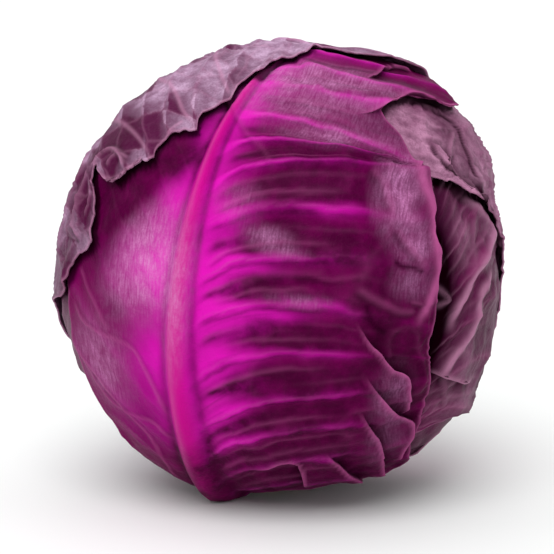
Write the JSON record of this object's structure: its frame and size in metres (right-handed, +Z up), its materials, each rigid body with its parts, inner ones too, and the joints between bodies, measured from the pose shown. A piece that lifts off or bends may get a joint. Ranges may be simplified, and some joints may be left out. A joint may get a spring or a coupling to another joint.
{
  "type": "red cabbage head",
  "caption": "Round head of red cabbage: loose waxy outer leaves with raised midribs and side veins wrapped over a dense heart, standing on its cut stem.",
  "frame": {"origin": "centre of the flat cut through the stem, on the surface that the head stands on", "axes": "+Z up through the head; -Y faces the broad front leaf with the large midrib; +X to the right as seen from the front"},
  "size_m": [0.1776, 0.1765, 0.1788],
  "materials": {
    "front_leaf": "satin wax bloom over magenta blade",
    "cap_leaf": "dry, bloomed, greyish mauve",
    "crown_leaf": "satin wax bloom, mauve",
    "right_leaf": "satin wax bloom, dull purple",
    "left_leaf": "satin wax bloom, dull purple",
    "back_leaf": "satin wax bloom, mauve purple",
    "side_leaf": "satin, dark purple",
    "heart": "satin, dark magenta",
    "stem": "dry cut stalk"
  },
  "bodies": {
    "root": {"front_leaf": "front_leaf", "cap_leaf": "cap_leaf", "crown_leaf": "crown_leaf", "right_leaf": "right_leaf", "left_leaf": "left_leaf", "back_leaf": "back_leaf", "side_leaf": "side_leaf", "heart": "heart", "stem": "stem"}
  },
  "joints": []
}
